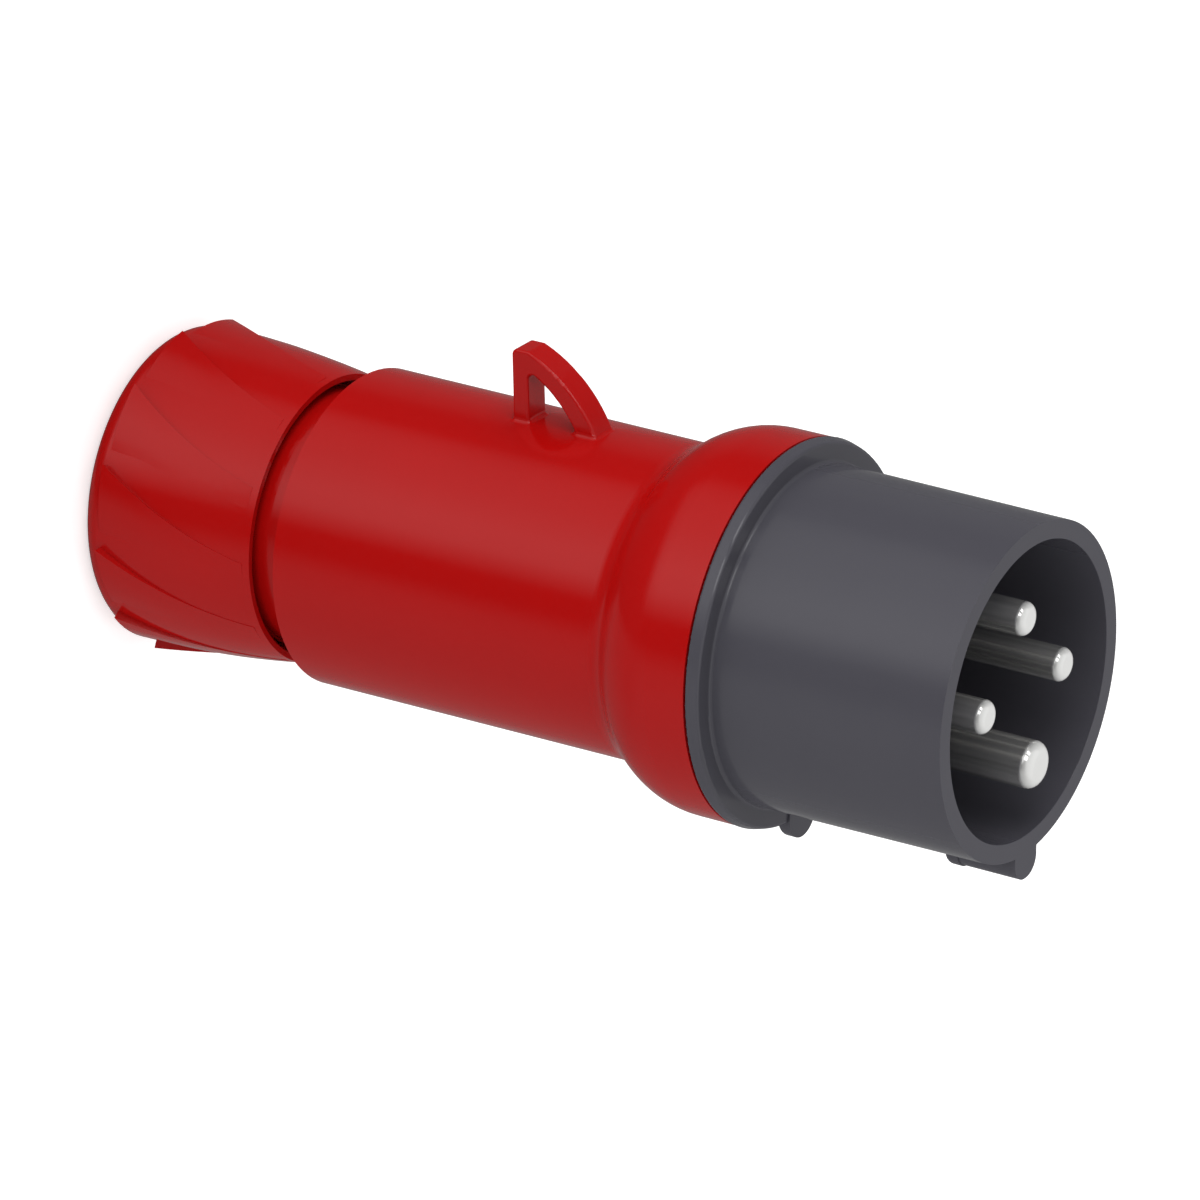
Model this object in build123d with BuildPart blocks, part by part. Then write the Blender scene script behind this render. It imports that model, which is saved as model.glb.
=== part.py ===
from build123d import *
import math
import os

# Industrial pin and sleeve plug, 16 A, three phases and earth.
# The plug stands on the end of its gland nut, with the nut's end face at z = 0.
# +Z runs along the plug towards the mouth of the sleeve, +X is the side of the key and
# the retaining lug, -X the side of the hanging loop. All lengths are in millimetres.

# Lengths along the plug, from the nut's end upwards
nut_length = 28.7
nut_gap = 5.6
body_length = 72.75
joint_gap = 0.15
flange_thickness = 2.1
sleeve_length = 37.0

nut_rim_z = nut_length
body_tail_z = nut_rim_z + nut_gap
body_front_z = body_tail_z + body_length
flange_back_z = body_front_z + joint_gap
flange_front_z = flange_back_z + flange_thickness
mouth_z = flange_front_z + sleeve_length

# Clearances
running_gap = 0.3
fit_gap = 0.1
seal_gap = 0.08

# Grey sleeve and flange
sleeve_mouth_radius = 24.75
sleeve_draft = 0.3
sleeve_wall = 2.83
mouth_round = 0.35
mouth_bore_round = 0.1
flange_ledge = 3.05
flange_slope = 0.6
flange_round = 0.5
root_fillet = 0.5

# Key under the mouth
key_width = 6.4
key_height = 4.05
key_length = 11.7
key_round = 3.0
key_end_round = 1.0
key_root_depth = 1.2
key_step_length = 2.4
key_step = 0.2

# Retaining lug on the flange
lug_radius = 3.6
lug_inset = 0.5
lug_proud = 0.3
lug_lift = 0.1
lug_round = 0.8

# Collar of the grey housing inside the red bell
collar_length = 12.5
stop_lip_width = 1.4
stop_lip_height = 1.5
contact_depth = 38.0
seal_groove_depth = 1.3
seal_section_radius = 0.7
seal_offset = 3.2

# Bayonet between the two housings
bayonet_count = 3
bayonet_first_angle = 45.0
bayonet_height = 2.3
bayonet_offset = 8.5
bayonet_lug_angle = 14.0
bayonet_lug_height = 1.3
bayonet_turn = 30.0
bayonet_side_clearance = 2.0
bayonet_root_depth = 2.0

# Contact pins
pin_circle_radius = 10.89
phase_pin_radius = 2.5
earth_pin_radius = 3.5
phase_pin_tip_round = 1.2
earth_pin_tip_round = 1.6
phase_pin_reach = 37.9
earth_pin_reach = 40.0
pin_shoulder_step = 1.5
pin_shoulder_height = 2.6
pin_land_step = 0.2
pin_land_rise = 0.2
terminal_length = 17.0
phase_terminal_radius = 3.9
earth_terminal_radius = 4.7
phase_wire_radius = 2.0
earth_wire_radius = 2.4
wire_hole_depth = 11.0

# Terminal screws
phase_screw_radius = 1.5
earth_screw_radius = 2.0
screw_head_step = 0.9
screw_head_height = 2.2
screw_from_end = 5.0
slot_width = 0.8
slot_depth = 0.9
leaf_thickness = 0.4
leaf_length = 8.0

# Insert
carrier_thickness = 8.0
pin_recess_width = 0.8
pin_recess_depth = 0.4
cover_thickness = 2.4
partition_height = 13.0
partition_thickness = 1.6
partition_reach = 13.0
partition_angle = 45.0
partition_hub_radius = 3.4
carrier_screw_edge = 5.8
carrier_screw_angle = 45.0
carrier_screw_radius = 1.3
carrier_screw_head_radius = 2.5
carrier_screw_head_height = 1.6
carrier_screw_depth = 6.0
snap_ring_height = 1.6
snap_ring_width = 1.9
snap_ring_groove = 0.9
snap_ring_opening = 24.0

# Red rear body
body_tail_radius = 23.7
body_waist_radius = 23.46
body_wall = 2.7
tail_round = 0.2
flange_overhang = 0.24
bell_wall = 3.16
bell_straight = 6.4
bell_arc_radius = 14.3
waist_fillet = 4.5
bell_round = 0.3
bell_flare_length = 3.5
tail_wall = 2.8
neck_wall = 3.05
neck_clearance = 5.2
neck_chamfer = 0.6
seat_bore_radius = 12.5
seat_thickness = 3.4
cavity_cone_height = 3.5

# Hanging loop, measured along the plug from the body's tail and out from the axis
loop_thickness = 4.7
loop_heel = 27.6
loop_lean = 0.3
loop_rise = 11.0
loop_flat = 2.5
loop_bulge_length = 8.9
loop_bulge_rise = 7.05
loop_length = 14.6
loop_leg_width = 2.7
loop_band_width = 2.9
loop_edge_round = 0.4
loop_corner_round = 0.9
loop_eye_round = 0.8
loop_eye_overrun = 1.0
loop_foot_round = 0.7

# Gland nut
nut_back_radius = 23.8
nut_barrel_radius = 149.0
nut_back_round = 3.0
nut_rim_round = 0.7
nut_rim_wall = 2.0
nut_relief_step = 0.95
nut_relief_depth = 4.0
nut_relief_round = 0.25
nut_end_wall = 3.0
nut_thread_gap = 0.35
cable_hole_radius = 9.5
cable_hole_round = 1.0
rib_count = 12
rib_first_angle = 4.4
rib_start = 3.6
rib_end_gap = 1.1
rib_crest_start = 1.25
rib_crest_end = 0.08
rib_fade_power = 3
rib_sweep = 24.9
rib_sweep_bend = 0.38
rib_panel_angle = 28.0
rib_least_angle = 7.5
rib_sink = 0.35
rib_stations = 7

# Clamping parts inside the nut
thrust_ring_height = 2.5
clamp_bore_radius = 10.6
cage_base_height = 2.2
cage_base_step = 0.8
finger_height = 6.6
finger_taper = 0.6
finger_thickness = 2.2
finger_tooth_height = 1.6
finger_count = 12
finger_slot_width = 1.6
washer_thickness = 1.0
grommet_length = 10.5
grommet_bore_radius = 7.5
peel_groove_width = 0.6
peel_groove_depth = 1.5
peel_step = 2.6

os.makedirs("parts", exist_ok=True)


def polar(radius, angle):
    """Point at a radius and an angle in degrees, in the plane across the plug."""
    return (radius * math.cos(math.radians(angle)), radius * math.sin(math.radians(angle)))


def nut_radius(z):
    """Outside of the nut between the ribs: a shallow barrel that narrows to the rim."""
    return nut_back_radius - (z - rib_start) ** 2 / (2 * nut_barrel_radius)


def finish(builder, label):
    """Label a finished piece and write its STEP file."""
    builder.part.label = label
    export_step(builder.part, f"parts/{label}.step")


# Derived places shared by several pieces
sleeve_root_radius = sleeve_mouth_radius + sleeve_draft
sleeve_bore_radius = sleeve_mouth_radius - sleeve_wall
flange_front_radius = sleeve_root_radius + flange_ledge
flange_back_radius = flange_front_radius + flange_slope
bell_radius = flange_back_radius - flange_overhang
bell_bore_radius = bell_radius - bell_wall
collar_radius = bell_bore_radius - running_gap
contact_floor_z = mouth_z - contact_depth
collar_back_z = flange_back_z - collar_length
carrier_back_z = contact_floor_z - carrier_thickness
cover_back_z = carrier_back_z - cover_thickness
bayonet_top_z = flange_back_z - bayonet_offset
bayonet_lug_radius = collar_radius + bayonet_lug_height
seal_z = flange_back_z - seal_offset
body_bore_radius = body_waist_radius - body_wall
insert_radius = sleeve_bore_radius - fit_gap
carrier_screw_circle = insert_radius - carrier_screw_edge
rib_length = nut_length - rib_start - rib_end_gap
nut_bore_radius = nut_radius(nut_length) - nut_rim_wall
neck_radius = nut_bore_radius - nut_thread_gap
neck_bore_radius = neck_radius - neck_wall
ring_back_z = nut_end_wall + running_gap
cage_back_z = ring_back_z + thrust_ring_height
finger_root_z = cage_back_z + cage_base_height
neck_end_z = finger_root_z + neck_clearance
seat_z = body_tail_z + tail_wall - seat_thickness - 2 * fit_gap
pin_angles = {"phase_pin_1": 180.0, "phase_pin_2": 270.0, "phase_pin_3": 90.0}
earth_angle = 0.0


# Retaining lug of the flange: a full round boss, rounded behind
with BuildPart() as retaining_lug:
    with BuildSketch(Plane.XY.offset(flange_back_z + lug_lift)):
        with Locations((flange_front_radius - lug_inset, 0)):
            Circle(lug_radius)
    extrude(amount=flange_thickness - lug_lift + lug_proud)
    fillet(retaining_lug.edges().group_by(Axis.Z)[0], lug_round)


# Grey front housing: sleeve, flange and collar are one turned form
with BuildPart() as front_housing:
    with BuildSketch(Plane.XZ) as housing_profile:
        with BuildLine():
            Polyline(
                (sleeve_bore_radius, collar_back_z),
                (collar_radius, collar_back_z),
                (collar_radius, flange_back_z),
                (flange_back_radius, flange_back_z),
                (flange_front_radius, flange_front_z),
                (sleeve_root_radius, flange_front_z),
                (sleeve_mouth_radius, mouth_z),
                (sleeve_bore_radius, mouth_z),
                (sleeve_bore_radius, contact_floor_z + stop_lip_height),
                (sleeve_bore_radius - stop_lip_width, contact_floor_z + stop_lip_height),
                (sleeve_bore_radius - stop_lip_width, contact_floor_z),
                (sleeve_bore_radius, contact_floor_z),
                close=True,
            )
        make_face()
        mouth_corners = housing_profile.vertices().group_by(Axis.Y)[-1].sort_by(Axis.X)
        fillet(mouth_corners[0], mouth_bore_round)
        fillet(mouth_corners[-1], mouth_round)
        flange_corners = [
            v for v in housing_profile.vertices() if v.X > sleeve_root_radius + root_fillet
        ]
        fillet(flange_corners, flange_round)
        root_corner = housing_profile.vertices().sort_by_distance((sleeve_root_radius, flange_front_z))[0]
        fillet(root_corner, root_fillet)
    revolve(axis=Axis.Z)

    # Key: a rounded bar under the mouth, a little taller at its back end
    key_root = sleeve_mouth_radius - key_root_depth
    key_back_z = mouth_z - key_length
    for shrink, top_z in ((0, key_back_z + key_step_length), (key_step, mouth_z)):
        half_width = key_width / 2 - shrink
        key_out = sleeve_mouth_radius + key_height - shrink
        with BuildSketch(Plane.XY.offset(key_back_z)) as key_section:
            with BuildLine():
                Polyline(
                    (key_root, -half_width),
                    (key_out, -half_width),
                    (key_out, half_width),
                    (key_root, half_width),
                    close=True,
                )
            make_face()
            fillet(key_section.vertices().group_by(Axis.X)[-1], key_round - shrink)
        extrude(amount=top_z - key_back_z)
    key_end_edges = front_housing.edges().filter_by_position(Axis.Z, key_back_z, key_back_z)
    outer_edges = key_end_edges.filter_by_position(Axis.X, sleeve_root_radius, 2 * sleeve_root_radius)
    fillet(outer_edges, key_end_round)

    # The lug grows out of the flange's edge
    add(retaining_lug.part)

    # Bayonet lugs on the collar
    for index in range(bayonet_count):
        middle = bayonet_first_angle + index * 360 / bayonet_count
        with BuildSketch(Plane.XY.offset(bayonet_top_z)):
            with BuildLine():
                inner = collar_radius - bayonet_root_depth
                low = middle - bayonet_lug_angle / 2
                high = middle + bayonet_lug_angle / 2
                Line(polar(inner, low), polar(bayonet_lug_radius, low))
                ThreePointArc(
                    polar(bayonet_lug_radius, low),
                    polar(bayonet_lug_radius, middle),
                    polar(bayonet_lug_radius, high),
                )
                Line(polar(bayonet_lug_radius, high), polar(inner, high))
                ThreePointArc(polar(inner, high), polar(inner, middle), polar(inner, low))
            make_face()
        extrude(amount=-bayonet_height)

    # Groove for the seal
    with BuildSketch(Plane.XZ):
        with Locations((collar_radius, seal_z)):
            Rectangle(2 * seal_groove_depth, 2 * seal_section_radius + 2 * fit_gap)
    revolve(axis=Axis.Z, mode=Mode.SUBTRACT)

    # Groove for the snap ring inside the collar
    with BuildSketch(Plane.XZ):
        with Locations((sleeve_bore_radius, cover_back_z - snap_ring_height / 2 - fit_gap)):
            Rectangle(2 * snap_ring_groove, snap_ring_height + 2 * fit_gap)
    revolve(axis=Axis.Z, mode=Mode.SUBTRACT)
finish(front_housing, "front_housing")


# Insert that holds the pins
with BuildPart() as pin_carrier:
    with BuildSketch(Plane.XY.offset(carrier_back_z)):
        Circle(insert_radius)
    extrude(amount=carrier_thickness)
    for angle in pin_angles.values():
        with Locations((*polar(pin_circle_radius, angle), carrier_back_z)):
            Hole(phase_pin_radius + pin_land_step + fit_gap)
            Cylinder(
                phase_pin_radius + pin_shoulder_step + fit_gap,
                2 * (pin_shoulder_height + fit_gap),
                mode=Mode.SUBTRACT,
            )
    with Locations((*polar(pin_circle_radius, earth_angle), carrier_back_z)):
        Hole(earth_pin_radius + pin_land_step + fit_gap)
        Cylinder(
            earth_pin_radius + pin_shoulder_step + fit_gap,
            2 * (pin_shoulder_height + fit_gap),
            mode=Mode.SUBTRACT,
        )
    for angle in (carrier_screw_angle, carrier_screw_angle + 180):
        with Locations((*polar(carrier_screw_circle, angle), carrier_back_z)):
            Cylinder(
                carrier_screw_radius + fit_gap,
                2 * (carrier_screw_depth + fit_gap),
                mode=Mode.SUBTRACT,
            )

    # Shallow moulded recess round each pin
    with BuildSketch(Plane.XY.offset(contact_floor_z)):
        for angle in pin_angles.values():
            with Locations(polar(pin_circle_radius, angle)):
                Circle(phase_pin_radius + pin_land_step + fit_gap + pin_recess_width)
        with Locations(polar(pin_circle_radius, earth_angle)):
            Circle(earth_pin_radius + pin_land_step + fit_gap + pin_recess_width)
    extrude(amount=-pin_recess_depth, mode=Mode.SUBTRACT)
finish(pin_carrier, "pin_carrier")


# Cover behind the insert, with walls between the terminals
with BuildPart() as terminal_cover:
    with BuildSketch(Plane.XY.offset(cover_back_z)):
        Circle(insert_radius)
    extrude(amount=cover_thickness)
    for angle in (partition_angle, partition_angle + 90):
        with BuildSketch(Plane.XY.offset(cover_back_z)):
            Rectangle(2 * partition_reach, partition_thickness, rotation=angle)
            Circle(partition_hub_radius)
        extrude(amount=-partition_height)
    for angle in pin_angles.values():
        with Locations((*polar(pin_circle_radius, angle), cover_back_z)):
            Hole(phase_terminal_radius + fit_gap)
    with Locations((*polar(pin_circle_radius, earth_angle), cover_back_z)):
        Hole(earth_terminal_radius + fit_gap)
    for angle in (carrier_screw_angle, carrier_screw_angle + 180):
        with Locations((*polar(carrier_screw_circle, angle), cover_back_z)):
            Cylinder(
                carrier_screw_radius + fit_gap,
                2 * (cover_thickness + fit_gap),
                mode=Mode.SUBTRACT,
            )
            Cylinder(
                carrier_screw_head_radius + fit_gap,
                2 * partition_height,
                align=(Align.CENTER, Align.CENTER, Align.MAX),
                mode=Mode.SUBTRACT,
            )
finish(terminal_cover, "terminal_cover")


# Snap ring that holds the insert in the grey housing
with BuildPart() as retaining_ring:
    with BuildSketch(Plane.XY.offset(cover_back_z)):
        Circle(sleeve_bore_radius + snap_ring_groove - fit_gap)
        Circle(sleeve_bore_radius + snap_ring_groove - snap_ring_width, mode=Mode.SUBTRACT)
        with BuildLine():
            reach = 2 * sleeve_bore_radius
            half = snap_ring_opening / 2
            Polyline((0, 0), polar(reach, 180 - half), polar(reach, 180 + half), close=True)
        make_face(mode=Mode.SUBTRACT)
    extrude(amount=-snap_ring_height)
finish(retaining_ring, "retaining_ring")


def contact_pin(angle, radius, reach, tip_round, terminal_radius, wire_radius, screw_radius):
    """Turned contact: round-ended pin, fitted land, trapped shoulder and bored terminal."""
    centre = polar(pin_circle_radius, angle)
    outward = polar(1, angle)
    shoulder = radius + pin_shoulder_step
    land = radius + pin_land_step
    tip_z = contact_floor_z + reach
    terminal_end_z = cover_back_z - terminal_length
    profile_plane = Plane(origin=(*centre, 0), x_dir=(*outward, 0), z_dir=(outward[1], -outward[0], 0))
    with BuildPart() as pin:
        with BuildSketch(profile_plane) as pin_profile:
            with BuildLine():
                Polyline(
                    (0, terminal_end_z),
                    (terminal_radius, terminal_end_z),
                    (terminal_radius, carrier_back_z),
                    (shoulder, carrier_back_z),
                    (shoulder, carrier_back_z + pin_shoulder_height),
                    (land, carrier_back_z + pin_shoulder_height),
                    (land, contact_floor_z + pin_land_rise),
                    (radius, contact_floor_z + pin_land_rise),
                    (radius, tip_z),
                    (0, tip_z),
                    close=True,
                )
            make_face()
            tip_corner = pin_profile.vertices().sort_by(Axis.Y)[-2:].sort_by_distance((radius, tip_z))[0]
            fillet(tip_corner, tip_round)
        revolve(axis=Axis((*centre, 0), (0, 0, 1)))
        # Conductor hole from behind and screw hole from outside
        with Locations((*centre, terminal_end_z)):
            Cylinder(wire_radius, 2 * wire_hole_depth, mode=Mode.SUBTRACT)
        screw_plane = Plane(
            origin=(*centre, terminal_end_z + screw_from_end), x_dir=(0, 0, 1), z_dir=(*outward, 0)
        )
        with BuildSketch(screw_plane):
            Circle(screw_radius + fit_gap)
        extrude(amount=terminal_radius, mode=Mode.SUBTRACT)
    return pin


def terminal_screw(angle, terminal_radius, wire_radius, screw_radius):
    """Slotted terminal screw, standing out of the side of its terminal."""
    centre = polar(pin_circle_radius, angle)
    outward = polar(1, angle)
    screw_z = cover_back_z - terminal_length + screw_from_end
    screw_plane = Plane(origin=(*centre, screw_z), x_dir=(0, 0, 1), z_dir=(*outward, 0))
    head_radius = screw_radius + screw_head_step
    tip = wire_radius - leaf_thickness - fit_gap
    with BuildPart() as screw:
        with BuildSketch(screw_plane.offset(tip)):
            Circle(screw_radius)
        extrude(amount=terminal_radius - tip)
        with BuildSketch(screw_plane.offset(terminal_radius)):
            Circle(head_radius)
        extrude(amount=screw_head_height)
        with BuildSketch(screw_plane.offset(terminal_radius + screw_head_height)):
            Rectangle(slot_width, 2 * head_radius)
        extrude(amount=-slot_depth, mode=Mode.SUBTRACT)
    return screw


def wire_leaf(angle, wire_radius):
    """Flat spring between the screw's tip and the conductor."""
    centre = polar(pin_circle_radius, angle)
    outward = polar(1, angle)
    leaf_z = cover_back_z - terminal_length
    leaf_plane = Plane(origin=(*centre, leaf_z), x_dir=(0, 0, 1), z_dir=(*outward, 0))
    with BuildPart() as leaf:
        outer = wire_radius - leaf_thickness - 2 * fit_gap
        half_width = math.sqrt(wire_radius**2 - outer**2) - fit_gap
        with BuildSketch(leaf_plane.offset(outer)):
            with Locations((fit_gap, 0)):
                Rectangle(leaf_length, 2 * half_width, align=(Align.MIN, Align.CENTER))
        extrude(amount=-leaf_thickness)
    return leaf


# Contact pins with their terminals
for label, angle in pin_angles.items():
    phase_pin = contact_pin(
        angle,
        phase_pin_radius,
        phase_pin_reach,
        phase_pin_tip_round,
        phase_terminal_radius,
        phase_wire_radius,
        phase_screw_radius,
    )
    finish(phase_pin, label)
earth_pin = contact_pin(
    earth_angle,
    earth_pin_radius,
    earth_pin_reach,
    earth_pin_tip_round,
    earth_terminal_radius,
    earth_wire_radius,
    earth_screw_radius,
)
finish(earth_pin, "earth_pin")

with BuildPart() as phase_terminal_screws:
    for angle in pin_angles.values():
        add(terminal_screw(angle, phase_terminal_radius, phase_wire_radius, phase_screw_radius).part)
finish(phase_terminal_screws, "phase_terminal_screws")

earth_terminal_screw = terminal_screw(
    earth_angle, earth_terminal_radius, earth_wire_radius, earth_screw_radius
)
finish(earth_terminal_screw, "earth_terminal_screw")

with BuildPart() as phase_wire_leaves:
    for angle in pin_angles.values():
        add(wire_leaf(angle, phase_wire_radius).part)
finish(phase_wire_leaves, "phase_wire_leaves")

earth_wire_leaf = wire_leaf(earth_angle, earth_wire_radius)
finish(earth_wire_leaf, "earth_wire_leaf")


# Two screws between cover and insert
with BuildPart() as carrier_screws:
    for angle in (carrier_screw_angle, carrier_screw_angle + 180):
        with Locations((*polar(carrier_screw_circle, angle), cover_back_z)):
            Cylinder(
                carrier_screw_radius,
                cover_thickness + carrier_screw_depth,
                align=(Align.CENTER, Align.CENTER, Align.MIN),
            )
            Cylinder(
                carrier_screw_head_radius,
                carrier_screw_head_height,
                align=(Align.CENTER, Align.CENTER, Align.MAX),
            )
    for angle in (carrier_screw_angle, carrier_screw_angle + 180):
        with Locations((*polar(carrier_screw_circle, angle), cover_back_z - carrier_screw_head_height)):
            Box(2 * carrier_screw_head_radius, slot_width, slot_depth, mode=Mode.SUBTRACT)
finish(carrier_screws, "carrier_screws")


# Rubber ring between the two housings
with BuildPart() as housing_seal:
    with BuildSketch(Plane.XZ):
        with Locations((bell_bore_radius - seal_gap - seal_section_radius, seal_z)):
            Circle(seal_section_radius)
    revolve(axis=Axis.Z)
finish(housing_seal, "housing_seal")


# Hanging loop of the red body: a leg at the heel and a curved band down to the toe
loop_root = body_waist_radius - body_wall / 2
loop_top = body_waist_radius + loop_rise
loop_bulge_out = body_waist_radius + loop_bulge_rise
heel_z = body_tail_z + loop_heel
toe_z = heel_z + loop_length
bulge_z = heel_z + loop_bulge_length
loop_foot_limit = max(body_waist_radius, body_tail_radius) + fit_gap
with BuildPart() as hanging_loop:
    with BuildSketch(Plane.XZ) as loop_profile:
        with BuildLine():
            Line((-loop_root, heel_z), (-loop_top, heel_z - loop_lean))
            Line((-loop_top, heel_z - loop_lean), (-loop_top, heel_z + loop_flat))
            ThreePointArc(
                (-loop_top, heel_z + loop_flat),
                (-loop_bulge_out, bulge_z),
                (-loop_root, toe_z),
            )
            Line((-loop_root, toe_z), (-loop_root, heel_z))
        make_face()
        top_corners = loop_profile.vertices().group_by(Axis.X)[0]
        fillet(top_corners, loop_corner_round)
    extrude(amount=loop_thickness / 2, both=True)
    with BuildSketch(Plane.XZ) as loop_hole:
        eye_top = loop_top - loop_band_width
        eye_root = loop_root - loop_eye_overrun
        band_step = loop_band_width / math.sqrt(2)
        with BuildLine():
            Line((-eye_root, heel_z + loop_leg_width), (-eye_top, heel_z - loop_lean + loop_leg_width))
            ThreePointArc(
                (-eye_top, heel_z - loop_lean + loop_leg_width),
                (-loop_bulge_out + band_step, bulge_z - band_step),
                (-eye_root, toe_z - loop_band_width),
            )
            Line((-eye_root, toe_z - loop_band_width), (-eye_root, heel_z + loop_leg_width))
        make_face()
        fillet(loop_hole.vertices().group_by(Axis.X)[0], loop_eye_round)
    extrude(amount=loop_thickness, both=True, mode=Mode.SUBTRACT)
    side_faces = hanging_loop.faces().filter_by(Axis.Y)
    side_edges = side_faces.edges().filter_by_position(Axis.X, -2 * loop_top, -loop_root - loop_edge_round)
    fillet(side_edges, loop_edge_round)


# Red rear body: turned shell with its bell, waist, tail and neck
bell_tangent_z = body_front_z - bell_straight
waist_drop = bell_radius - body_waist_radius
waist_z = bell_tangent_z - math.sqrt(bell_arc_radius**2 - (bell_arc_radius - waist_drop) ** 2)
bell_centre = (bell_radius - bell_arc_radius, bell_tangent_z)
bell_half_angle = math.degrees(math.asin((bell_tangent_z - waist_z) / bell_arc_radius)) / 2
bell_middle = (
    bell_centre[0] + bell_arc_radius * math.cos(math.radians(bell_half_angle)),
    bell_centre[1] - bell_arc_radius * math.sin(math.radians(bell_half_angle)),
)
bore_start_z = body_tail_z + tail_wall
flare_top_z = collar_back_z - running_gap
with BuildPart() as rear_body:
    with BuildSketch(Plane.XZ) as shell_profile:
        with BuildLine():
            Polyline(
                (body_waist_radius, waist_z),
                (body_tail_radius, body_tail_z),
                (neck_radius, body_tail_z),
                (neck_radius, neck_end_z),
                (neck_bore_radius, neck_end_z),
                (neck_bore_radius, seat_z),
                (seat_bore_radius, seat_z),
                (seat_bore_radius, bore_start_z),
                (body_bore_radius, bore_start_z + cavity_cone_height),
                (body_bore_radius, flare_top_z - bell_flare_length),
                (bell_bore_radius, flare_top_z),
                (bell_bore_radius, body_front_z),
                (bell_radius, body_front_z),
                (bell_radius, bell_tangent_z),
            )
            ThreePointArc((bell_radius, bell_tangent_z), bell_middle, (body_waist_radius, waist_z))
        make_face()
        corners = shell_profile.vertices()
        fillet(corners.sort_by_distance((body_waist_radius, waist_z))[0], waist_fillet)
        fillet(corners.sort_by_distance((body_tail_radius, body_tail_z))[0], tail_round)
        fillet(corners.sort_by_distance((bell_radius, body_front_z))[0], bell_round)
        chamfer(corners.sort_by_distance((neck_radius, neck_end_z))[0], neck_chamfer)
    revolve(axis=Axis.Z)

    # Bayonet: way in from the mouth of the bell, then a slot to turn in
    channel_radius = bayonet_lug_radius + running_gap
    channel_bottom_z = bayonet_top_z - bayonet_height - running_gap
    channel_top_z = bayonet_top_z + running_gap
    side = bayonet_lug_angle / 2 + bayonet_side_clearance
    for index in range(bayonet_count):
        middle = bayonet_first_angle + index * 360 / bayonet_count
        for low, high, top_z in (
            (middle - bayonet_turn - side, middle - bayonet_turn + side, body_front_z),
            (middle - bayonet_turn - side, middle + side, channel_top_z),
        ):
            with BuildSketch(Plane.XY.offset(channel_bottom_z)):
                with BuildLine():
                    inner = bell_bore_radius - bayonet_root_depth
                    centre_angle = (low + high) / 2
                    Line(polar(inner, low), polar(channel_radius, low))
                    ThreePointArc(
                        polar(channel_radius, low),
                        polar(channel_radius, centre_angle),
                        polar(channel_radius, high),
                    )
                    Line(polar(channel_radius, high), polar(inner, high))
                    ThreePointArc(polar(inner, high), polar(inner, centre_angle), polar(inner, low))
                make_face()
            extrude(amount=top_z - channel_bottom_z, mode=Mode.SUBTRACT)

    # The loop grows out of the shell, with a small fillet round both feet
    add(hanging_loop.part)
    foot_edges = rear_body.edges(Select.LAST).filter_by(
        lambda edge: max(math.hypot(p.X, p.Y) for p in edge.positions([0, 0.5, 1])) < loop_foot_limit
    )
    fillet(foot_edges, loop_foot_round)
finish(rear_body, "rear_body")


# Rubber seal for the cable, with peel-off rings marked in its end
with BuildPart() as grommet:
    with BuildSketch(Plane.XZ):
        with BuildLine():
            outer = neck_bore_radius - fit_gap
            Polyline(
                (grommet_bore_radius, seat_z - grommet_length),
                (outer, seat_z - grommet_length),
                (outer, seat_z),
                (grommet_bore_radius, seat_z),
                close=True,
            )
        make_face()
        for step in (1, 2):
            with Locations((grommet_bore_radius + step * peel_step, seat_z - grommet_length)):
                Rectangle(peel_groove_width, 2 * peel_groove_depth, mode=Mode.SUBTRACT)
    revolve(axis=Axis.Z)
finish(grommet, "grommet")


# Washer that the clamp slides on
washer_top_z = seat_z - grommet_length
with BuildPart() as slip_washer:
    with BuildSketch(Plane.XY.offset(washer_top_z)):
        Circle(neck_bore_radius - fit_gap)
        Circle(clamp_bore_radius, mode=Mode.SUBTRACT)
    extrude(amount=-washer_thickness)
finish(slip_washer, "slip_washer")


# Ring that the gland nut pushes
with BuildPart() as thrust_ring:
    with BuildSketch(Plane.XY.offset(ring_back_z)):
        Circle(nut_bore_radius - running_gap)
        Circle(clamp_bore_radius, mode=Mode.SUBTRACT)
    extrude(amount=thrust_ring_height)
finish(thrust_ring, "thrust_ring")


# Cage of clamping fingers round the cable
finger_tip_z = finger_root_z + finger_height
finger_outer = neck_bore_radius - running_gap - fit_gap
with BuildPart() as clamp_cage:
    with BuildSketch(Plane.XZ):
        with BuildLine():
            finger_inner = finger_outer - finger_thickness
            Polyline(
                (finger_inner, cage_back_z),
                (nut_bore_radius - running_gap - cage_base_step, cage_back_z),
                (nut_bore_radius - running_gap - cage_base_step, finger_root_z),
                (finger_outer, finger_root_z),
                (finger_outer - finger_taper, finger_tip_z),
                (clamp_bore_radius, finger_tip_z),
                (clamp_bore_radius, finger_tip_z - finger_tooth_height),
                (finger_inner, finger_tip_z - 2 * finger_tooth_height),
                close=True,
            )
        make_face()
    revolve(axis=Axis.Z)
    with BuildSketch(Plane.XY.offset(finger_root_z)):
        with PolarLocations(finger_outer, finger_count):
            Rectangle(2 * finger_thickness + 2 * clamp_bore_radius, finger_slot_width)
    extrude(amount=finger_height, mode=Mode.SUBTRACT)
finish(clamp_cage, "clamp_cage")


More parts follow.
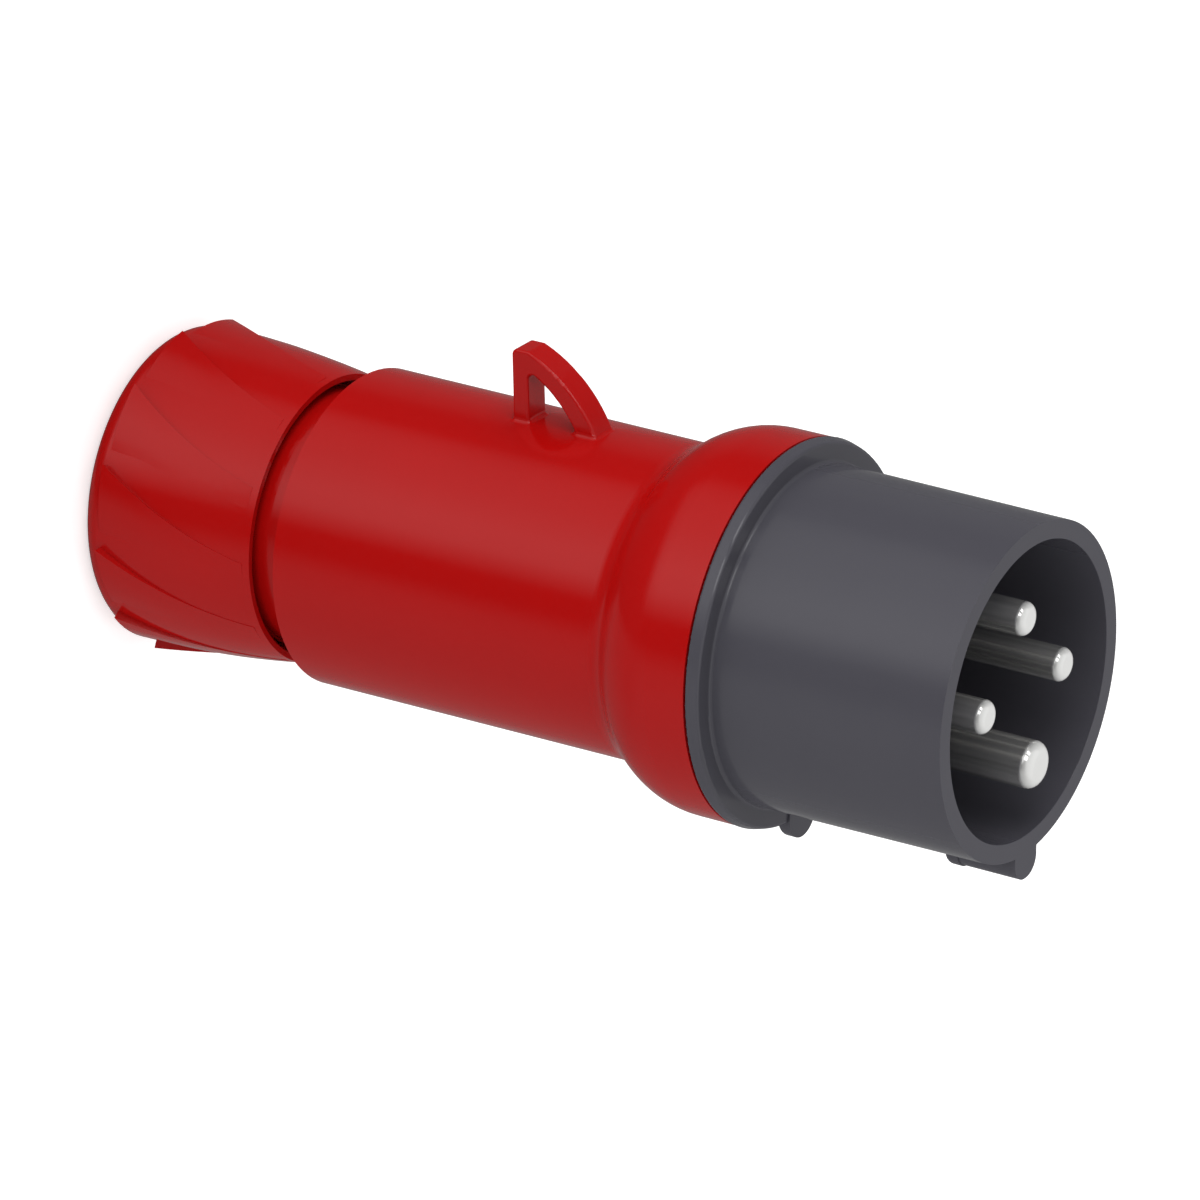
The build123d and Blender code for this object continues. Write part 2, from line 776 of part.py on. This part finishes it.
# Gland nut with its swept saw-tooth grip
def rib_section(share):
    """Section of the grip: each rib falls from a sharp step to where it sinks in the core."""
    base = nut_radius(rib_start + share * rib_length)
    rise = rib_crest_end + (rib_crest_start - rib_crest_end) * (1 - share) ** rib_fade_power
    turn = rib_sweep * (share * (1 + rib_sweep_bend) - rib_sweep_bend * share**2)
    pitch = 360 / rib_count
    fall_angle = max(rib_panel_angle - turn, rib_least_angle)
    with BuildLine() as outline:
        for index in range(rib_count):
            step = rib_first_angle + index * pitch + turn
            Line(polar(base - rib_sink, step), polar(base + rise, step))
            panel = []
            for part in (0, 1 / 3, 2 / 3, 1):
                fallen = min(part * pitch / fall_angle, 1)
                height = rise * (1 - fallen) - rib_sink * part**3
                panel.append(polar(base + height, step + part * pitch))
            Spline(*panel)
    return outline.line


with BuildPart() as gland_nut:
    for index in range(rib_stations):
        share = index / (rib_stations - 1)
        with BuildSketch(Plane.XY.offset(rib_start + share * rib_length)):
            with BuildLine():
                add(rib_section(share))
            make_face()
    loft()

    # Turned core, with a rounded back end and a shallow barrel that narrows to the rim
    rim_radius = nut_radius(nut_length)
    middle_z = (rib_start + nut_length) / 2
    with BuildSketch(Plane.XZ) as nut_core:
        with BuildLine():
            Polyline(
                (nut_back_radius, rib_start),
                (nut_back_radius, 0),
                (0, 0),
                (0, nut_length),
                (rim_radius, nut_length),
            )
            ThreePointArc(
                (rim_radius, nut_length), (nut_radius(middle_z), middle_z), (nut_back_radius, rib_start)
            )
        make_face()
        core_corners = nut_core.vertices()
        fillet(core_corners.sort_by_distance((nut_back_radius, 0))[0], nut_back_round)
        fillet(core_corners.sort_by_distance((rim_radius, nut_length))[0], nut_rim_round)
    revolve(axis=Axis.Z)

    # Hollow for the thread and the clamp, wider at the rim, and the cable hole in the end wall
    relief_radius = nut_bore_radius + nut_relief_step
    relief_z = nut_length - nut_relief_depth
    with BuildSketch(Plane.XZ):
        with BuildLine():
            Polyline(
                (0, nut_end_wall),
                (nut_bore_radius, nut_end_wall),
                (nut_bore_radius, relief_z),
                (relief_radius, relief_z + nut_relief_step),
                (relief_radius, 2 * nut_length),
                (0, 2 * nut_length),
                close=True,
            )
        make_face()
    revolve(axis=Axis.Z, mode=Mode.SUBTRACT)
    Cylinder(cable_hole_radius, 2 * nut_length, mode=Mode.SUBTRACT)
    round_edges = gland_nut.edges().filter_by(GeomType.CIRCLE).group_by(Axis.Z)
    fillet(round_edges[0].sort_by(SortBy.RADIUS)[0], cable_hole_round)
    fillet(round_edges[-1].sort_by(SortBy.RADIUS)[0], nut_relief_round)
finish(gland_nut, "gland_nut")
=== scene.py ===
"""Looks of an industrial pin and sleeve plug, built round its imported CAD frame.

Laid out as a Blender add-on and run as a script. All lengths are in metres.
The plug stands on the end of its gland nut, with +Z along it to the sleeve's mouth.
"""

import math

import bpy
from mathutils import Matrix, Vector


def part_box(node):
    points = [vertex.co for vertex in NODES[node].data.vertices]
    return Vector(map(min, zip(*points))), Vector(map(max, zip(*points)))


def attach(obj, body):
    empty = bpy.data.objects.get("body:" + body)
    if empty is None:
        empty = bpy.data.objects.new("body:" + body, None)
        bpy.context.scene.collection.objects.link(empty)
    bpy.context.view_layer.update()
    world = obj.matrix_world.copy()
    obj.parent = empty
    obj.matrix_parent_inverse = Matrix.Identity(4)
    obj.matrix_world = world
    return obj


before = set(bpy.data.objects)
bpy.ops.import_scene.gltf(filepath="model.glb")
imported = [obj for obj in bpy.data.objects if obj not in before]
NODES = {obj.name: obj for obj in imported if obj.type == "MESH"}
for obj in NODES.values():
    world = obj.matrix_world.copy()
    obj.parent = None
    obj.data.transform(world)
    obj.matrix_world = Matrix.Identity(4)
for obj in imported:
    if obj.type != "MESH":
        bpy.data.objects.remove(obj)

bl_info = {
    "name": "Pin and Sleeve Plug",
    "version": (1, 0, 0),
    "blender": (4, 5, 0),
    "location": "3D View > Sidebar > Plug",
    "description": "Gives an industrial pin and sleeve plug its finishes, thread, light and camera",
    "category": "Add Mesh",
}

MM = 0.001

# Camera solved from the photograph: its place, the direction back to it and its up
CAMERA_PLACE = (-0.45188, -0.89949, 0.65087)
CAMERA_BACK = (-0.3914, -0.7751, 0.4961)
CAMERA_UP = (-0.9203, 0.3297, -0.2110)

# Studio cards that only gloss sees, in four rings from the floor up.
# Each ring is pairs of azimuth in degrees and brightness, from -180 to 180.
LOW_CARDS = ((-180, 0.03), (-90, 0.03), (-76, 0.16), (-20, 0.18), (60, 0.12), (90, 0.05),
             (180, 0.03))
SIDE_CARDS = ((-180, 0.35), (-160, 0.48), (-135, 0.74), (-122, 0.70), (-104, 0.0), (-90, 0.0),
              (-76, 0.21), (-60, 0.26), (30, 0.19), (45, 0.25), (63, 0.25), (80, 0.17),
              (95, 0.125), (115, 0.115), (130, 0.085), (141, 0.025), (160, 0.03), (170, 0.24),
              (180, 0.35))
# The gap in the bright card here draws the line across each pin's round tip
RISING_CARDS = ((-180, 0.30), (-174, 2.6), (-162, 2.6), (-160, 0.02), (-151, 0.02), (-149, 2.6),
                (-134, 2.6), (-126, 0.24), (-95, 0.08), (-60, 0.22), (45, 0.30), (80, 0.30),
                (110, 0.05), (150, 0.05), (175, 0.20), (180, 0.30))
ZENITH_CARDS = ((-180, 0.45), (180, 0.45))
# Height of a direction, as its Z, over which one ring fades into the next
LOW_EDGE = (-0.76, -0.54)
RISING_EDGE = (0.17, 0.27)
ZENITH_EDGE = (0.62, 0.75)
# Diffuse light of the surroundings: the white backdrop behind the plug is the brightest
BACKDROP = ((-180, 0.50), (-100, 0.50), (-40, 0.60), (10, 0.85), (63, 1.0), (110, 0.85),
            (150, 0.60), (180, 0.50))

# Most values of a soft noise lie between these
NOISE_SPREAD = (0.3, 0.7)
FLOW_MM = 28
CLOUD_MM = 4
# How far roughness strays with the surface's own pattern
PLASTIC_STRAY = 0.03
TURNED_STRAY = 0.05
STREAK_STRAY = 0.03

THREAD_STEPS = 72
# The thread's ends shrink to this share of their radius, which sinks them in the neck
THREAD_RUN_OUT = 0.97

FLOOR_RADIUS = 4.0
FLOOR_PAINT = 0.8
FLOOR_GLOW = 0.55

SOFTBOX_PLACE = (-1.1, -0.45, 0.35)
SOFTBOX_AIM = (0, 0, 0.07)
SOFTBOX_SIDE = 0.8


def linear(hex_colour):
    """Turn an sRGB hex colour into linear red, green, blue and alpha."""
    channels = []
    for start in (1, 3, 5):
        value = int(hex_colour[start:start + 2], 16) / 255
        if value <= 0.04045:
            channels.append(value / 12.92)
        else:
            channels.append(((value + 0.055) / 1.055) ** 2.4)
    return (*channels, 1.0)


def add_node(tree, kind, settings=None, values=None, links=None):
    """Add one shader node with its settings, its socket values and its incoming links."""
    node = tree.nodes.new(kind)
    for name, value in (settings or {}).items():
        setattr(node, name, value)
    for name, value in (values or {}).items():
        node.inputs[name].default_value = value
    for name, source in (links or {}).items():
        tree.links.new(source, node.inputs[name])
    return node


def new_material(name):
    """Make a node material and return it with its tree, shader and object coordinates."""
    material = bpy.data.materials.new(name)
    material.use_nodes = True
    tree = material.node_tree
    tree.nodes.clear()
    shader = add_node(tree, "ShaderNodeBsdfPrincipled")
    add_node(tree, "ShaderNodeOutputMaterial", links={"Surface": shader.outputs["BSDF"]})
    place = add_node(tree, "ShaderNodeTexCoord")
    return material, tree, shader, place.outputs["Object"]


def moulded_plastic(name, colour, darker, roughness, specular, grain_mm, grain_height_mm):
    """Injection-moulded plastic: even colour with faint flow shade and a spark-eroded grain."""
    material, tree, shader, place = new_material(name)
    # Flow shade: the pigment is a little uneven over centimetres, as in any moulding
    flow = add_node(tree, "ShaderNodeTexNoise",
                    values={"Scale": 1 / (FLOW_MM * MM), "Detail": 3.0, "Roughness": 0.55},
                    links={"Vector": place})
    shade = add_node(tree, "ShaderNodeMapRange",
                     values={"From Min": NOISE_SPREAD[0], "From Max": NOISE_SPREAD[1]},
                     links={"Value": flow.outputs["Fac"]})
    blend = add_node(tree, "ShaderNodeMix", settings={"data_type": "RGBA"},
                     values={"A": linear(darker), "B": linear(colour)},
                     links={"Factor": shade.outputs["Result"]})
    tree.links.new(blend.outputs["Result"], shader.inputs["Base Color"])
    # Grain: the mould is spark eroded, which leaves tiny dimples and a satin gloss
    grain = add_node(tree, "ShaderNodeTexNoise",
                     values={"Scale": 1 / (grain_mm * MM), "Detail": 2.0, "Roughness": 0.5},
                     links={"Vector": place})
    gloss = add_node(tree, "ShaderNodeMapRange",
                     values={"From Min": NOISE_SPREAD[0], "From Max": NOISE_SPREAD[1],
                             "To Min": roughness - PLASTIC_STRAY,
                             "To Max": roughness + PLASTIC_STRAY},
                     links={"Value": grain.outputs["Fac"]})
    tree.links.new(gloss.outputs["Result"], shader.inputs["Roughness"])
    bump = add_node(tree, "ShaderNodeBump",
                    values={"Strength": 1.0, "Distance": grain_height_mm * MM},
                    links={"Height": grain.outputs["Fac"]})
    tree.links.new(bump.outputs["Normal"], shader.inputs["Normal"])
    shader.inputs["Metallic"].default_value = 0.0
    shader.inputs["IOR"].default_value = 1.5
    shader.inputs["Specular IOR Level"].default_value = specular
    return material


def turned_metal(name, colour, tint, roughness, pitch_mm, height_mm):
    """Turned and plated metal: fine rings round the axis left by the lathe tool."""
    material, tree, shader, place = new_material(name)
    # Bands of a wave repeat ten times in pi of its scaled length
    rings = add_node(tree, "ShaderNodeTexWave",
                     settings={"wave_type": "BANDS", "bands_direction": "Z",
                               "wave_profile": "SIN"},
                     values={"Scale": math.pi / (10 * pitch_mm * MM), "Distortion": 0.6,
                             "Detail": 2.0},
                     links={"Vector": place})
    # Cloud: the passivated zinc is a little uneven in shade and gloss
    cloud = add_node(tree, "ShaderNodeTexNoise",
                     values={"Scale": 1 / (CLOUD_MM * MM), "Detail": 4.0},
                     links={"Vector": place})
    blend = add_node(tree, "ShaderNodeMix", settings={"data_type": "RGBA"},
                     values={"A": linear(colour), "B": linear(tint)},
                     links={"Factor": cloud.outputs["Fac"]})
    tree.links.new(blend.outputs["Result"], shader.inputs["Base Color"])
    gloss = add_node(tree, "ShaderNodeMapRange",
                     values={"To Min": roughness - TURNED_STRAY,
                             "To Max": roughness + TURNED_STRAY},
                     links={"Value": cloud.outputs["Fac"]})
    tree.links.new(gloss.outputs["Result"], shader.inputs["Roughness"])
    bump = add_node(tree, "ShaderNodeBump",
                    values={"Strength": 1.0, "Distance": height_mm * MM},
                    links={"Height": rings.outputs["Fac"]})
    tree.links.new(bump.outputs["Normal"], shader.inputs["Normal"])
    shader.inputs["Metallic"].default_value = 1.0
    return material


def nickel_plate(name, colour, streak, roughness, shaft_haze, painted_tip_diffuse, tip_z, end_z):
    """Nickel plate over a drawn and turned brass pin: faintly streaked shaft, and a tip painted
    near white as a painted highlight.
    """
    material, tree, shader, place = new_material(name)
    # Streaks: the die draws them down the rod, so they are long in Z and a millimetre wide
    stretch = add_node(tree, "ShaderNodeMapping", values={"Scale": (1.0, 1.0, 0.01)},
                       links={"Vector": place})
    lines = add_node(tree, "ShaderNodeTexNoise", values={"Scale": 1 / (1.1 * MM), "Detail": 1.0},
                     links={"Vector": stretch.outputs["Vector"]})
    ridge = add_node(tree, "ShaderNodeMapRange", values={"From Min": 0.35, "From Max": 0.65},
                     links={"Value": lines.outputs["Fac"]})
    shaft = add_node(tree, "ShaderNodeMix", settings={"data_type": "RGBA"},
                     values={"A": linear(streak), "B": linear(colour)},
                     links={"Factor": ridge.outputs["Result"]})
    gloss = add_node(tree, "ShaderNodeMapRange",
                     values={"To Min": roughness + STREAK_STRAY,
                             "To Max": roughness - STREAK_STRAY},
                     links={"Value": ridge.outputs["Result"]})
    # Tip: its round is polished by the socket's springs and shines twice as sharply. Its colour is
    # painted near white there, a painted highlight that stands in for the tip's bright reflection
    along = add_node(tree, "ShaderNodeSeparateXYZ", links={"Vector": place})
    tip = add_node(tree, "ShaderNodeMapRange",
                   values={"From Min": tip_z, "From Max": tip_z + 0.25 * MM},
                   links={"Value": along.outputs["Z"]})
    # The near-white colour blended in over the tip is a painted highlight
    blend = add_node(tree, "ShaderNodeMix", settings={"data_type": "RGBA"},
                     values={"B": linear("#FAFAF8")},
                     links={"Factor": tip.outputs["Result"], "A": shaft.outputs["Result"]})
    tree.links.new(blend.outputs["Result"], shader.inputs["Base Color"])
    polish = add_node(tree, "ShaderNodeMix", values={"B": roughness / 2},
                      links={"Factor": tip.outputs["Result"], "A": gloss.outputs["Result"]})
    tree.links.new(polish.outputs["Result"], shader.inputs["Roughness"])
    # Painted highlight: metallic falls from the tip's start to its flat end, so the near-white
    # painted colour shows as bright diffuse there. The shaft keeps a small diffuse share
    metal = add_node(tree, "ShaderNodeMapRange",
                     values={"From Min": tip_z, "From Max": end_z,
                             "To Min": 1.0 - shaft_haze, "To Max": 1.0 - painted_tip_diffuse},
                     links={"Value": along.outputs["Z"]})
    tree.links.new(metal.outputs["Result"], shader.inputs["Metallic"])
    return material


def select_where(piece, test):
    """Go into edit mode with only those vertices selected whose place passes the test."""
    bpy.ops.object.mode_set(mode="EDIT")
    bpy.ops.mesh.select_mode(type="VERT")
    bpy.ops.mesh.select_all(action="DESELECT")
    bpy.ops.object.mode_set(mode="OBJECT")
    for vertex in piece.data.vertices:
        vertex.select = test(vertex.co)
    bpy.ops.object.mode_set(mode="EDIT")


def photo_camera(scene, looks):
    """Add the camera that took the photograph."""
    camera_data = bpy.data.cameras.new("photo_camera")
    camera = bpy.data.objects.new("photo_camera", camera_data)
    scene.collection.objects.link(camera)
    back = Vector(CAMERA_BACK).normalized()
    right = Vector(CAMERA_UP).cross(back).normalized()
    up = back.cross(right)
    turn = Matrix((right, up, back)).transposed().to_4x4()
    camera.matrix_world = Matrix.Translation(CAMERA_PLACE) @ turn
    camera_data.lens = looks.lens_mm
    camera_data.sensor_width = looks.sensor_mm
    camera_data.clip_start = 0.01
    camera_data.clip_end = 20.0
    scene.camera = camera


def pale_floor():
    """Add the plain floor, which glows for the camera alone and keeps the plug's shadow."""
    bpy.ops.object.select_all(action="DESELECT")
    bpy.ops.mesh.primitive_circle_add(vertices=64, radius=FLOOR_RADIUS, fill_type="NGON",
                                      location=(0, 0, 0))
    floor = bpy.context.object
    floor.name = "floor"
    material = bpy.data.materials.new("pale_floor")
    material.use_nodes = True
    tree = material.node_tree
    tree.nodes.clear()
    paint = add_node(tree, "ShaderNodeBsdfDiffuse",
                     values={"Color": (FLOOR_PAINT, FLOOR_PAINT, FLOOR_PAINT, 1.0)})
    glow = add_node(tree, "ShaderNodeEmission",
                    values={"Color": (1.0, 1.0, 1.0, 1.0), "Strength": FLOOR_GLOW})
    both = add_node(tree, "ShaderNodeAddShader")
    tree.links.new(paint.outputs[0], both.inputs[0])
    tree.links.new(glow.outputs[0], both.inputs[1])
    rays = add_node(tree, "ShaderNodeLightPath")
    pick = add_node(tree, "ShaderNodeMixShader", links={"Fac": rays.outputs["Is Camera Ray"]})
    tree.links.new(paint.outputs[0], pick.inputs[1])
    tree.links.new(both.outputs[0], pick.inputs[2])
    add_node(tree, "ShaderNodeOutputMaterial", links={"Surface": pick.outputs[0]})
    floor.data.materials.append(material)
    floor.visible_glossy = False


def studio_world(scene, looks):
    """Add even pale light, with the studio's cards in it for gloss alone."""
    world = bpy.data.worlds.new("studio")
    scene.world = world
    world.use_nodes = True
    tree = world.node_tree
    tree.nodes.clear()
    place = add_node(tree, "ShaderNodeTexCoord")
    turn = add_node(tree, "ShaderNodeTexGradient", settings={"gradient_type": "RADIAL"},
                    links={"Vector": place.outputs["Generated"]})
    height = add_node(tree, "ShaderNodeSeparateXYZ", links={"Vector": place.outputs["Generated"]})

    # Each ring of brightness is a grey ramp over the full turn
    rings = []
    for levels in (LOW_CARDS, SIDE_CARDS, RISING_CARDS, ZENITH_CARDS, BACKDROP):
        ramp = add_node(tree, "ShaderNodeValToRGB", links={"Fac": turn.outputs["Fac"]})
        stops = ramp.color_ramp.elements
        while len(stops) < len(levels):
            stops.new(0.5)
        for stop, (angle, level) in zip(stops, levels):
            stop.position = (angle + 180) / 360
            stop.color = (level, level, level, 1.0)
        rings.append(ramp.outputs["Color"])
    cards, side, rising, zenith, backdrop = rings

    for edge, above in ((LOW_EDGE, side), (RISING_EDGE, rising), (ZENITH_EDGE, zenith)):
        fade = add_node(tree, "ShaderNodeMapRange", settings={"interpolation_type": "SMOOTHSTEP"},
                        values={"From Min": edge[0], "From Max": edge[1]},
                        links={"Value": height.outputs["Z"]})
        stack = add_node(tree, "ShaderNodeMix", settings={"data_type": "RGBA"},
                         links={"Factor": fade.outputs["Result"], "A": cards, "B": above})
        cards = stack.outputs["Result"]
    seen_in_gloss = add_node(tree, "ShaderNodeBackground", values={"Strength": 1.0},
                             links={"Color": cards})

    sky_fade = add_node(tree, "ShaderNodeMapRange",
                        values={"From Min": 0.0, "From Max": 1.0,
                                "To Min": looks.side_level, "To Max": looks.zenith_level},
                        links={"Value": height.outputs["Z"]})
    even_light = add_node(tree, "ShaderNodeBackground",
                          links={"Color": backdrop, "Strength": sky_fade.outputs["Result"]})
    rays = add_node(tree, "ShaderNodeLightPath")
    pick = add_node(tree, "ShaderNodeMixShader", links={"Fac": rays.outputs["Is Glossy Ray"]})
    tree.links.new(even_light.outputs[0], pick.inputs[1])
    tree.links.new(seen_in_gloss.outputs[0], pick.inputs[2])
    add_node(tree, "ShaderNodeOutputWorld", links={"Surface": pick.outputs[0]})


def key_softbox(scene, looks):
    """Add one large soft light on the side that the photograph shows brighter."""
    lamp_data = bpy.data.lights.new("key_softbox", "AREA")
    lamp_data.shape = "RECTANGLE"
    lamp_data.size = SOFTBOX_SIDE
    lamp_data.size_y = SOFTBOX_SIDE
    lamp_data.energy = looks.key_power
    lamp = bpy.data.objects.new("key_softbox", lamp_data)
    scene.collection.objects.link(lamp)
    lamp.location = SOFTBOX_PLACE
    lamp.visible_glossy = False
    aim = Vector(SOFTBOX_AIM) - lamp.location
    lamp.rotation_euler = aim.to_track_quat("-Z", "Y").to_euler()


class PlugFinishSettings(bpy.types.PropertyGroup):
    """Colours of the plug's parts."""

    red: bpy.props.StringProperty(
        name="Red plastic", description="Colour of the rear body and the nut",
        default="#AE0B0A")
    grey: bpy.props.StringProperty(
        name="Grey plastic", description="Colour of the sleeve and its flange",
        default="#4D4C53")
    insert: bpy.props.StringProperty(
        name="Insert", description="Colour of the insert between the pins",
        default="#2B2B2F")
    plating: bpy.props.StringProperty(
        name="Pin plating", description="Colour of the nickel plating",
        default="#EDECE9")


class PlugThreadSettings(bpy.types.PropertyGroup):
    """Gland thread on the neck of the rear body."""

    pitch: bpy.props.FloatProperty(
        name="Pitch", description="Rise of one turn, the same as the gland's joints have",
        default=3.0 * MM, unit="LENGTH")
    start: bpy.props.FloatProperty(
        name="Start", description="Height at which the ridge's middle starts",
        default=14.6 * MM, unit="LENGTH")
    turns: bpy.props.IntProperty(
        name="Turns", description="Whole turns of the ridge", default=4, min=1)
    foot_radius: bpy.props.FloatProperty(
        name="Foot radius", description="Radius just under the neck's surface",
        default=19.1 * MM, unit="LENGTH")
    crest_radius: bpy.props.FloatProperty(
        name="Crest radius", description="Radius of the crest, inside the nut's bore",
        default=19.6 * MM, unit="LENGTH")
    foot_width: bpy.props.FloatProperty(
        name="Foot width", description="Width of the ridge at its foot",
        default=2.0 * MM, unit="LENGTH")
    crest_width: bpy.props.FloatProperty(
        name="Crest width", description="Width of the ridge's flat crest",
        default=0.7 * MM, unit="LENGTH")


class PlugStageSettings(bpy.types.PropertyGroup):
    """Camera and light."""

    lens_mm: bpy.props.FloatProperty(
        name="Lens", description="Focal length of the photograph's camera in millimetres",
        default=241.77)
    sensor_mm: bpy.props.FloatProperty(
        name="Sensor", description="Width of the camera's sensor in millimetres",
        default=36.0)
    key_power: bpy.props.FloatProperty(
        name="Key light", description="Power of the large soft light",
        default=5.6, unit="POWER")
    side_level: bpy.props.FloatProperty(
        name="Side level", description="Brightness of the surroundings at the horizon",
        default=2.15, min=0.0)
    zenith_level: bpy.props.FloatProperty(
        name="Zenith level", description="Brightness of the surroundings overhead",
        default=0.9, min=0.0)


class PLUG_OT_finishes(bpy.types.Operator):
    """Give every CAD node its procedural material"""

    bl_idname = "plug.finishes"
    bl_label = "Plug finishes"

    def execute(self, context):
        looks = context.scene.plug_finish
        # Polyamide takes a fine satin from the mould. The grain is drawn coarser than the
        # real one, about 0.1 mm, which would be too fine to show
        red = moulded_plastic("red_polyamide_satin", looks.red, "#AB0A09",
                              roughness=0.13, specular=0.5, grain_mm=0.35,
                              grain_height_mm=0.001)
        grey = moulded_plastic("grey_polyamide_satin", looks.grey, "#4B4A51",
                               roughness=0.13, specular=0.5, grain_mm=0.35,
                               grain_height_mm=0.001)
        # The insert's thermoset is dull and the seals' rubber duller still
        insert = moulded_plastic("insert_thermoset", looks.insert, "#28282C",
                                 roughness=0.45, specular=0.4, grain_mm=0.5,
                                 grain_height_mm=0.006)
        rubber = moulded_plastic("seal_rubber_black", "#1B1B1C", "#171718",
                                 roughness=0.6, specular=0.3, grain_mm=0.6,
                                 grain_height_mm=0.01)
        # Nickel gives the shafts a dark mirror between pale streaks. The tips' bright end is a
        # painted highlight: near-white colour with little metal
        plated = []
        for pin, kind, tip_round in (("phase_pin_1", "phase", 1.2), ("earth_pin", "earth", 1.6)):
            end_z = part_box(pin)[1][2]
            plated.append(nickel_plate(f"nickel_plated_brass_{kind}", looks.plating, "#C2C2C0",
                                       roughness=0.15, shaft_haze=0.16, painted_tip_diffuse=0.76,
                                       tip_z=end_z - tip_round * MM, end_z=end_z))
        phase_nickel, earth_nickel = plated
        # Zinc gives the screws and leaves a bluish satin with the lathe's rings in it
        zinc = turned_metal("zinc_plated_steel", "#B9BCC0", "#A9ADB2",
                            roughness=0.3, pitch_mm=0.296, height_mm=0.001)
        for material, nodes in (
                (red, ("rear_body", "gland_nut")),
                (grey, ("front_housing",)),
                (insert, ("pin_carrier", "terminal_cover", "retaining_ring", "slip_washer",
                          "clamp_cage", "thrust_ring")),
                (rubber, ("housing_seal", "grommet")),
                (phase_nickel, ("phase_pin_1", "phase_pin_2", "phase_pin_3")),
                (earth_nickel, ("earth_pin",)),
                (zinc, ("phase_terminal_screws", "earth_terminal_screw", "phase_wire_leaves",
                        "earth_wire_leaf", "carrier_screws"))):
            for node in nodes:
                slots = NODES[node].data.materials
                slots.clear()
                slots.append(material)
        return {"FINISHED"}


class PLUG_OT_neck_thread(bpy.types.Operator):
    """Wind the gland thread's ridge round the neck of the rear body"""

    bl_idname = "plug.neck_thread"
    bl_label = "Neck thread"

    def execute(self, context):
        sizes = context.scene.plug_thread
        middle = (sizes.foot_radius + sizes.crest_radius) / 2
        depth = sizes.crest_radius - sizes.foot_radius

        # Section of the ridge: a plane stood upright beside the axis, narrowed at its crest
        bpy.ops.object.select_all(action="DESELECT")
        bpy.ops.mesh.primitive_plane_add(size=1.0, location=(middle, 0, sizes.start),
                                         rotation=(math.pi / 2, 0, 0))
        thread = context.object
        thread.name = "neck_thread"
        thread.scale = (depth, sizes.foot_width, 1.0)
        bpy.ops.object.transform_apply(location=True, rotation=True, scale=True)
        select_where(thread, lambda place: place.x > middle)
        bpy.ops.transform.resize(value=(1.0, 1.0, sizes.crest_width / sizes.foot_width),
                                 center_override=(sizes.crest_radius, 0, sizes.start))
        bpy.ops.mesh.select_all(action="SELECT")
        bpy.ops.mesh.delete(type="ONLY_FACE")
        bpy.ops.object.mode_set(mode="OBJECT")

        # Right-handed turns
        bpy.ops.object.modifier_add(type="SCREW")
        winding = thread.modifiers[-1]
        winding.screw_offset = sizes.pitch
        winding.iterations = sizes.turns
        winding.steps = THREAD_STEPS
        winding.render_steps = THREAD_STEPS
        bpy.ops.object.modifier_apply(modifier=winding.name)

        # Both ends are closed and sunk in the neck
        reach = sizes.pitch * 0.45
        last = sizes.start + sizes.pitch * sizes.turns
        for end in (sizes.start, last):
            select_where(thread, lambda place: (place.x > 0 and abs(place.y) < 0.01 * MM
                                                and abs(place.z - end) < reach))
            bpy.ops.mesh.edge_face_add()
            bpy.ops.transform.resize(value=(THREAD_RUN_OUT, THREAD_RUN_OUT, 1.0),
                                     center_override=(0, 0, end))
        bpy.ops.mesh.select_all(action="SELECT")
        bpy.ops.mesh.normals_make_consistent(inside=False)
        bpy.ops.object.mode_set(mode="OBJECT")
        bpy.ops.object.shade_smooth_by_angle(angle=math.radians(25))
        thread.data.materials.append(bpy.data.materials["red_polyamide_satin"])
        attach(thread, "rear_shell")
        return {"FINISHED"}


class PLUG_OT_stage(bpy.types.Operator):
    """Add the photograph's camera, the floor, the world with its studio cards and the lamp"""

    bl_idname = "plug.stage"
    bl_label = "Plug stage"

    def execute(self, context):
        scene = context.scene
        looks = scene.plug_stage
        scene.view_settings.view_transform = "Standard"
        photo_camera(scene, looks)
        pale_floor()
        studio_world(scene, looks)
        key_softbox(scene, looks)
        return {"FINISHED"}


class PLUG_PT_panel(bpy.types.Panel):
    """Sidebar panel that lists the plug's operators"""

    bl_idname = "PLUG_PT_panel"
    bl_label = "Pin and Sleeve Plug"
    bl_space_type = "VIEW_3D"
    bl_region_type = "UI"
    bl_category = "Plug"

    def draw(self, context):
        for operator in STEPS:
            self.layout.operator(operator.bl_idname)


STEPS = (PLUG_OT_finishes, PLUG_OT_neck_thread, PLUG_OT_stage)
CLASSES = (PlugFinishSettings, PlugThreadSettings, PlugStageSettings, *STEPS, PLUG_PT_panel)


def register():
    """Register the classes and their settings."""
    for each in CLASSES:
        bpy.utils.register_class(each)
    bpy.types.Scene.plug_finish = bpy.props.PointerProperty(type=PlugFinishSettings)
    bpy.types.Scene.plug_thread = bpy.props.PointerProperty(type=PlugThreadSettings)
    bpy.types.Scene.plug_stage = bpy.props.PointerProperty(type=PlugStageSettings)


def unregister():
    """Take the classes and their settings out again."""
    del bpy.types.Scene.plug_stage
    del bpy.types.Scene.plug_thread
    del bpy.types.Scene.plug_finish
    for each in reversed(CLASSES):
        bpy.utils.unregister_class(each)


def main():
    """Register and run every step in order."""
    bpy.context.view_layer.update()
    register()
    bpy.ops.plug.finishes()
    bpy.ops.plug.neck_thread()
    bpy.ops.plug.stage()


if __name__ == "__main__":
    main()
